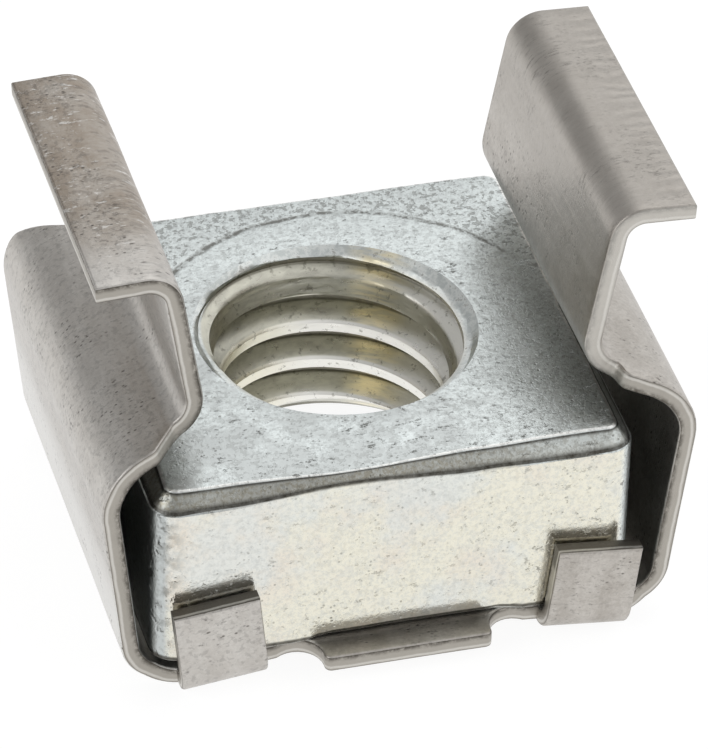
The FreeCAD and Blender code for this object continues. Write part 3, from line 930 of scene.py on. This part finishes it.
@dataclass(frozen=True)
class RolledSteel:
    """Bare rolled spring steel: warm grey, with faint bands, flecks, pits and brown stains."""

    light: Colour = (0.6, 0.573, 0.536)
    dark: Colour = (0.41, 0.383, 0.35)
    stain: Colour = (0.33, 0.28, 0.23)
    # Colour of bright scuffs and of painted highlights
    scuff_and_highlight: Colour = (0.82, 0.815, 0.795)
    pit: Colour = (0.1, 0.09, 0.08)
    left_fade: tuple[float, float] = (-4.0, 0.0)
    lip_clean: tuple[float, float] = (-4.1, -0.9)
    pitted_back: tuple[float, float] = (-1.5, 2.5)
    relief: float = 0.022

    def material(self, cage: SpringCage) -> bpy.types.Material:
        """Makes the material, laid along the flat blank.

        Args:
            cage: Cage that it covers.

        Returns:
            The finished material.
        """
        graph = Graph(bpy.data.materials.new("rolled_spring_steel"))
        place = graph.node("Attribute", {"attribute_name": "blank"}, out="Vector")
        along, across, _ = graph.parts(place)
        away = abs(along)
        left = 1 - graph.step(along, *self.left_fade)
        right = 1 - left
        on_lip = graph.step(away, cage.leg_start, cage.leg_start + 2.0)
        back = graph.step(across, *self.lip_clean)
        # Grain and bands of the rolled sheet
        mottle = graph.noise(place, 1.3, 8, 0.68)
        bands = graph.noise(graph.scaled(place, (2.2, 0.18, 1.0)), 1.0, 3, 0.5)
        grain = graph.noise(graph.scaled(place, (3.4, 9.0, 1.0)), 1.6, 6, 0.75)
        grit = graph.step(graph.noise(place, 9.0, 4, 0.75), 0.36, 0.64)
        tone = graph.step(mottle * 0.5 + bands * 0.25 + grain * 0.25, 0.38, 0.6) * 0.62 + grit * 0.38
        colour = graph.mix(tone, self.dark, self.light)
        # Brown stains, strongest on the back of the left lip
        blotches = graph.noise(graph.scaled(place, (1.4, 0.9, 1.0)), 0.9, 8, 0.72)
        blotches = graph.step(blotches, 0.3, 0.68)
        tint = left * on_lip * back
        stained = blotches * (0.12 + left * 0.08) + tint * (0.35 + blotches * 0.5)
        colour = graph.mix(stained, colour, self.stain)
        speckle = graph.step(graph.noise(place, 6.5, 3, 0.6), 0.53, 0.61)
        colour = graph.mix(speckle * (0.08 + left * 0.22), colour, self.pit)
        # Painted shade darkens the lower right leg and its lip
        colour = graph.mix(on_lip * right * 0.6, colour, self.dark)
        # Bright scuffs and painted light, mostly on the left bend and wall: painted glints, strongest
        # on the back of the left lip, and painted light over the left side, strongest along the floor
        # bend and the foot of the wall
        glints = graph.step(graph.noise(graph.scaled(place, (2.6, 5.0, 1.0)), 1.7, 4, 0.7), 0.58, 0.66)
        colour = graph.mix(glints * (left * 0.15 + tint * 0.45), colour, self.scuff_and_highlight)
        # Painted light over the left side, strongest along the floor bend and the foot of the wall
        scuffed_and_lit = 1 - graph.step(away, cage.wall_start + 0.6, cage.wall_end)
        scuffed_and_lit = scuffed_and_lit * (0.2 + graph.step(away, cage.ramp_end, cage.wall_start) * 0.8)
        scuffed_and_lit = graph.most(scuffed_and_lit, 0.26 - on_lip * (back * 0.4 - 0.14)) * left
        colour = graph.mix(scuffed_and_lit * (0.55 + grain * 0.5), colour, self.scuff_and_highlight)
        # Pits and flecks
        worn = graph.step(graph.noise(place, 0.4, 4, 0.55), 0.42, 0.6)
        flecks = graph.step(grain, 0.53, 0.64) * (0.2 + worn * 0.8)
        pits = 1 - graph.step(graph.cells(graph.scaled(place, (1.0, 1.5, 1.0)), 5.4), 0.06, 0.3)
        crowd = graph.noise(place, 0.8, 2) + right * graph.step(across, *self.pitted_back) * 0.14
        pits = pits * graph.step(crowd, 0.47, 0.6) * (1 - on_lip * right * 0.75)
        colour = graph.mix(graph.most(flecks * 0.5, pits * 0.85), colour, self.pit)
        # Fine ripples towards the tip of the right lip
        ripples = graph.node("TexWave", {"bands_direction": "Y"}, out="Fac", Vector=place, Scale=0.85,
                             Distortion=5.0, Detail=3.0, Detail_Scale=1.4)
        tip = graph.step(along, cage.path.length - 0.9, cage.path.length - 0.4)
        height = (bands + mottle * 0.5 + grain * (0.2 + worn * 0.3) - pits * 0.3 - flecks * 0.15
                  + ripples * tip * 0.4)
        return graph.surface(colour, 0.27 + mottle * 0.2, height, self.relief)


@dataclass(frozen=True)
class ShearedEdge:
    """Edge of the cut sheet: dull and dark, with a thin bright line under the outer side that is
    partly burnish and partly a painted highlight.
    """

    bright: Colour = (0.72, 0.7, 0.66)
    dull: Colour = (0.42, 0.395, 0.355)
    dark: Colour = (0.11, 0.1, 0.085)
    tab_tip: tuple[float, float] = (6.7, 6.9)
    leg_highlight: float = 0.42
    relief: float = 0.02

    def material(self, cage: SpringCage) -> bpy.types.Material:
        """Makes the material, laid across the thickness of the sheet.

        Args:
            cage: Cage that it covers.

        Returns:
            The finished material.
        """
        graph = Graph(bpy.data.materials.new("sheared_steel_edge"))
        place = graph.node("Attribute", {"attribute_name": "blank"}, out="Vector")
        along, across, depth = graph.parts(place)
        rim = 1 - graph.between(depth, (0.03, 0.07), (cage.sheet - 0.07, cage.sheet - 0.03))
        tab_end = graph.step(abs(across), *self.tab_tip)
        tooth = graph.noise(graph.scaled(place, (3.0, 3.0, 4.0)), 2.0, 5, 0.7)
        wander = graph.noise(graph.scaled(place, (1.0, 1.0, 0.0)), 1.4, 4) * 0.1
        depth = depth + wander
        torn = graph.step(depth, 0.27, 0.42) * graph.step(tooth, 0.3, 0.6)
        colour = graph.mix(torn, self.dull, self.dark)
        colour = graph.mix(graph.most(tab_end * 0.85, rim * 0.6), colour, self.dark)
        # Thin bright line, partly burnish and partly a painted highlight
        line = graph.between(depth, (0.1, 0.14), (0.16, 0.2))
        colour = graph.mix(line * (0.45 + tooth * 0.5), colour, self.bright)
        # Painted highlight on the edges of the right leg
        right_leg = graph.step(along, cage.leg_start - 1.2, cage.leg_start - 0.2)
        colour = graph.mix(right_leg * self.leg_highlight, colour, self.bright)
        return graph.surface(colour, 0.34 + tooth * 0.2, tooth, self.relief)


@dataclass(frozen=True)
class ZincPlate:
    """Zinc plating: pale blue-grey on the faces, creamy on the cut sides, with specks and dents."""

    pale: Colour = (0.79, 0.845, 0.84)
    grey: Colour = (0.55, 0.58, 0.575)
    cream: Colour = (0.82, 0.795, 0.68)
    rose: Colour = (0.79, 0.735, 0.64)
    lilac: Colour = (0.74, 0.765, 0.74)
    olive: Colour = (0.37, 0.355, 0.3)
    speck: Colour = (0.12, 0.115, 0.1)
    crack: Colour = (0.06, 0.055, 0.045)
    # Colour of the painted highlight along the lip
    lip_highlight: Colour = (0.95, 0.955, 0.93)
    mark_centre: tuple[float, float] = (0.4, -0.3)
    mark_radius: float = 4.55
    dented_x: tuple[float, float] = (-5.35, -4.75)
    dented_y: tuple[float, float] = (-4.9, -4.2)
    # Span of X over which painted light makes the face paler to the right
    painted_light_right: tuple[float, float] = (0.8, 3.5)
    relief: float = 0.022

    def material(self, nut: SquareNut) -> bpy.types.Material:
        """Makes the material on object coordinates.

        Args:
            nut: Nut that it covers.

        Returns:
            The finished material.
        """
        graph = Graph(bpy.data.materials.new("zinc_plate"))
        place = graph.millimetres()
        x, y, _ = graph.parts(place)
        facing = graph.parts(graph.node("NewGeometry", out="Normal"))
        side = graph.step(abs(facing[1]), 0.75, 0.95)
        slope = 1 - graph.step(facing[2], 0.95, 0.99)
        mottle = graph.noise(place, 1.0, 8, 0.66)
        fine = graph.noise(place, 5.0, 5, 0.7)
        # Creamy sides with rose and lilac clouds, and a blue-grey face with painted light that makes
        # it paler on the right
        blush = graph.noise(place, 0.4, 5, 0.6) - x * 0.02
        front = graph.mix(graph.step(blush, 0.46, 0.64), self.cream, self.rose)
        cool = graph.noise(place, 0.35, 6, 0.65) - abs(x + 1.2) * 0.02
        front = graph.mix(graph.step(cool, 0.44, 0.6) * 0.8, front, self.lilac)
        # Painted light makes the face paler to the right; it is also a little paler towards the back
        tone = mottle + 0.045 + x * 0.006 + y * 0.025 + graph.step(x, *self.painted_light_right) * 0.24
        colour = graph.mix(graph.step(tone, 0.38, 0.62), self.grey, self.pale)
        colour = graph.mix(side, colour, front)
        grit = graph.step(graph.noise(place, 11.0, 4, 0.75), 0.44, 0.6)
        colour = graph.mix(grit * (0.65 - side * 0.3), colour, self.grey)
        # Eased edge: a burr, an olive band that is partly painted shade, a crease and a lip with a
        # painted highlight
        eased = graph.node("Attribute", {"attribute_name": "eased"}, out="Fac")
        burr = graph.between(eased, (0.12, 0.2), (0.38, 0.46)) * slope
        crease = graph.between(eased, (0.56, 0.6), (0.62, 0.68)) * slope
        # Olive band: partly the chamfer's own tint and partly painted shade, with less of it on the
        # right
        band = graph.between(eased, (0.3, 0.44), (0.56, 0.64)) * slope
        band = band * (1 - graph.step(x, 0.5, 4.0) * 0.5)
        # Painted highlight along the lip between the chamfer and the upper face
        lip = graph.between(eased, (0.66, 0.74), (0.86, 0.96))
        colour = graph.mix(band * (0.5 + grit * 0.5), colour, self.olive)
        colour = graph.mix(graph.most(burr, crease) * (0.55 + fine * 0.7), colour, self.crack)
        colour = graph.mix(lip * (0.5 + fine * 0.8), colour, self.lip_highlight)
        # Round tool mark on the upper face, rougher outside it
        from_x, from_y = x - nut.centre.x - self.mark_centre[0], y - self.mark_centre[1]
        reach = (from_x ** 2 + from_y ** 2) ** 0.5 + (mottle - 0.5) * 0.35
        mark = self.mark_radius
        ring = graph.between(reach, (mark - 0.1, mark - 0.02), (mark + 0.01, mark + 0.13))
        ring = ring * graph.step(y, 1.2, 2.4) * (0.3 + graph.step(fine, 0.42, 0.56) * 0.7)
        rough = graph.step(reach, mark - 0.15, mark + 0.2) * graph.step(y, 0.0, 2.0) * (1 - side)
        # Dots, nicks and the dents of the front left corner
        dots = 1 - graph.step(graph.cells(place, 6.4), 0.08, 0.26)
        dots = dots * graph.step(graph.noise(place, 1.3, 4, 0.6), 0.46, 0.6)
        nicks = graph.noise(graph.scaled(place, (1.0, 1.6, 1.3)), 3.8, 7, 0.75)
        speckle = graph.step(graph.noise(place, 8.5, 3, 0.6), 0.51, 0.6)
        nicks = graph.most(graph.step(nicks, 0.58, 0.68) * 0.7, speckle * (rough * 0.3 + 0.2))
        corner = (1 - graph.step(x, *self.dented_x)) * (1 - graph.step(y, *self.dented_y))
        dents = graph.step(graph.noise(place, 1.6, 4, 0.6), 0.48, 0.62) * corner
        marks = graph.most(dots * (0.6 - side * 0.12), nicks * (1 - side * 0.5))
        marks = graph.most(marks, graph.most(ring * 0.85, dents * 0.6))
        colour = graph.mix(marks, colour, self.speck)
        height = (mottle * 0.8 + fine * 0.35) * (1 - side * 0.6) - marks * 0.5 - dents * 0.9
        return graph.surface(colour, 0.25 + mottle * 0.14 - side * 0.17, height, self.relief)


@dataclass(frozen=True)
class CutThread:
    """Thread: olive-grey flanks with painted light on the right, cream crests, painted shade in the
    roots and a painted golden reflection in places.
    """

    flank: Colour = (0.66, 0.65, 0.56)
    shade: Colour = (0.52, 0.51, 0.44)
    crest: Colour = (0.96, 0.95, 0.9)
    cream: Colour = (0.93, 0.9, 0.76)
    reflected_gold: Colour = (0.98, 0.9, 0.66)
    # Painted shade of the roots, also the colour of fine dark specks
    root: Colour = (0.12, 0.11, 0.08)
    mouth: Colour = (0.84, 0.87, 0.85)
    rim_grey: Colour = (0.64, 0.68, 0.67)
    mouth_depth: tuple[float, float] = (0.17, 0.22)
    relief: float = 0.008

    def material(self, nut: SquareNut) -> bpy.types.Material:
        """Makes the material on object coordinates.

        Args:
            nut: Nut whose bore it covers.

        Returns:
            The finished material.
        """
        graph = Graph(bpy.data.materials.new("cut_thread"))
        place = graph.millimetres()
        x, y, z = graph.parts(place)
        x = x - nut.centre.x
        radius = (x * x + y * y) ** 0.5
        turn = x / radius
        crest = 1 - graph.step(radius, nut.minor_radius + 0.04, nut.minor_radius + 0.09)
        root = graph.step(radius, nut.major_radius - 0.06, nut.major_radius - 0.02)
        mouth = 1 - graph.step(nut.top - z, *self.mouth_depth)
        fine = graph.noise(place, 5.0, 5, 0.7)
        smears = graph.noise(graph.scaled(place, (1.5, 1.5, 6.0)), 1.5, 5, 0.6)
        # Painted golden reflection at the back right of the bore, on the flanks and on the mouth
        glint = graph.between(turn, (0.3, 0.5), (0.58, 0.8)) * graph.step(y, 0.0, 1.0)
        golden = graph.noise(graph.scaled(place, (1.0, 1.0, 9.0)), 1.4, 4)
        golden = graph.step(golden, 0.3, 0.62) * glint
        # Flanks, with painted light that makes them lighter on the right, then crests, then painted
        # shade in the roots
        colour = graph.mix(graph.step(smears, 0.35, 0.65), self.shade, self.flank)
        # Painted light makes the flanks lighter on the right
        colour = graph.mix(graph.step(turn, 0.55, 0.9) * 0.75, colour, self.crest)
        colour = graph.mix(golden, colour, self.reflected_gold)
        pale = graph.mix(graph.step(turn, -0.5, 0.1), self.cream, self.crest)
        colour = graph.mix(crest, colour, pale)
        # Painted shade in the thread's roots
        colour = graph.mix(root * 0.7, colour, self.root)
        # Countersunk mouth
        rim = graph.mix(graph.step(fine, 0.42, 0.58), self.rim_grey, self.mouth)
        rim = graph.mix(golden, rim, self.reflected_gold)
        colour = graph.mix(mouth, colour, rim)
        colour = graph.mix(graph.step(fine, 0.58, 0.66) * 0.5, colour, self.root)
        return graph.surface(colour, 0.2 + smears * 0.2, smears, self.relief)


@dataclass(frozen=True)
class ProductCamera:
    """Long lens that looks down on the part from the front left, with its angles in radians."""

    azimuth: float = -0.2856
    elevation: float = 0.6434
    roll: float = 0.0295
    distance: float = 134.6018
    aside: float = 0.3879
    above: float = -0.9923
    focal_pixels: float = 6175.65
    picture_height: int = 749
    target: tuple[float, float, float] = (-0.211, -0.036, 5.127)

    def build(self) -> None:
        """Makes the camera and puts it in charge."""
        back = direction(self.azimuth, self.elevation)
        right = Vector((math.cos(self.azimuth), math.sin(self.azimuth), 0))
        up = back.cross(right)
        c, s = math.cos(self.roll), math.sin(self.roll)
        right, up = right * c + up * s, up * c - right * s
        place = Vector(self.target) + back * self.distance + right * self.aside + up * self.above
        data = bpy.data.cameras.new("product_camera")
        data.lens = self.focal_pixels * data.sensor_width / self.picture_height
        data.clip_start, data.clip_end = 0.01, 5
        camera = bpy.data.objects.new("product_camera", data)
        bpy.context.scene.collection.objects.link(camera)
        turn = Matrix((right, up, back)).transposed().to_4x4()
        camera.matrix_world = Matrix.Translation(place * MM) @ turn
        bpy.context.scene.camera = camera


@dataclass(frozen=True)
class Softbox:
    """Square lamp that faces the part, with its angles in degrees and its lengths in metres."""

    name: str
    azimuth: float
    elevation: float
    distance: float
    size: float
    level: float

    def build(self) -> None:
        """Makes the lamp. Its level is the brightness of its face, where 1 is white."""
        data = bpy.data.lights.new(self.name, "AREA")
        data.shape = "SQUARE"
        data.size = self.size
        data.energy = self.level * math.pi * self.size ** 2
        lamp = bpy.data.objects.new(self.name, data)
        bpy.context.scene.collection.objects.link(lamp)
        aim = direction(math.radians(self.azimuth), math.radians(self.elevation))
        facing = aim.to_track_quat("Z", "Y").to_matrix().to_4x4()
        lamp.matrix_world = Matrix.Translation(aim * self.distance) @ facing


@dataclass(frozen=True)
class Studio:
    """Plain pale floor, pale surroundings and soft lamps."""

    lamps: tuple[Softbox, ...] = (
        Softbox("overhead", azimuth=150, elevation=60, distance=0.3, size=0.26, level=0.5),
        Softbox("left_fill", azimuth=-75, elevation=30, distance=0.25, size=0.16, level=1.65),
    )
    sky: Steps = ((0.0, 0.4), (0.38, 0.46), (0.6, 0.72), (0.8, 0.98))
    floor_size: float = 2.0
    floor_glow: float = 0.88

    def floor(self) -> bpy.types.Object:
        """Makes the floor, which cameras and reflections see as almost white.

        Returns:
            The floor.
        """
        mesh = bmesh.new()
        bmesh.ops.create_grid(mesh, x_segments=1, y_segments=1, size=self.floor_size / MM)
        graph = Graph(bpy.data.materials.new("pale_floor"))
        seen = graph.most(graph.node("LightPath", out="Is Camera Ray"),
                          graph.node("LightPath", out="Is Glossy Ray"))
        matte = graph.node("BsdfDiffuse", Color=(0.8, 0.8, 0.8))
        faint = graph.node("BsdfDiffuse", Color=(0.2, 0.2, 0.2))
        glow = graph.node("Emission", Color=(1, 1, 1), Strength=self.floor_glow)
        lit = graph.node("AddShader", n0=faint, n1=glow)
        graph.node("OutputMaterial", Surface=graph.node("MixShader", n0=seen, n1=matte, n2=lit))
        return finish_mesh(mesh, "floor", [graph.owner])

    def surround(self) -> None:
        """Makes the room: darker on the left, paler on the right, and white to the camera."""
        room = bpy.data.worlds.new("pale_room")
        bpy.context.scene.world = room
        graph = Graph(room)
        aside = graph.node("VectorMath", {"operation": "DOT_PRODUCT"}, out="Value",
                           n0=graph.node("TexCoord", out="Generated"), n1=(0.5, 0, 0))
        stops = [(place, (level, level, level)) for place, level in self.sky]
        sky = graph.node("ValToRGB", {"stops": stops}, n0=aside + 0.5)
        shown = graph.mix(graph.node("LightPath", out="Is Camera Ray"), sky, (1, 1, 1))
        graph.node("OutputWorld", Surface=graph.node("Background", Color=shown))

    def build(self) -> None:
        """Makes the floor, the surroundings and the lamps."""
        self.floor()
        self.surround()
        for lamp in self.lamps:
            lamp.build()
        bpy.context.scene.view_settings.view_transform = "Standard"


def main() -> None:
    """Builds the part round the frame, and the studio round the part."""
    logging.basicConfig(level=logging.INFO, format="%(message)s")
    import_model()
    clip = SpringCage()
    cage = clip.build([RolledSteel().material(clip), ShearedEdge().material(clip)])
    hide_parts("spring_cage")
    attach(cage, "cage")
    block = SquareNut()
    nut = block.build([ZincPlate().material(block), CutThread().material(block)])
    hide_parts("square_nut")
    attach(nut, "nut")
    for piece in (cage, nut):
        LOG.info("%s: %d faces", piece.name, len(piece.data.polygons))
    Studio().build()
    ProductCamera().build()


if __name__ == "__main__":
    main()
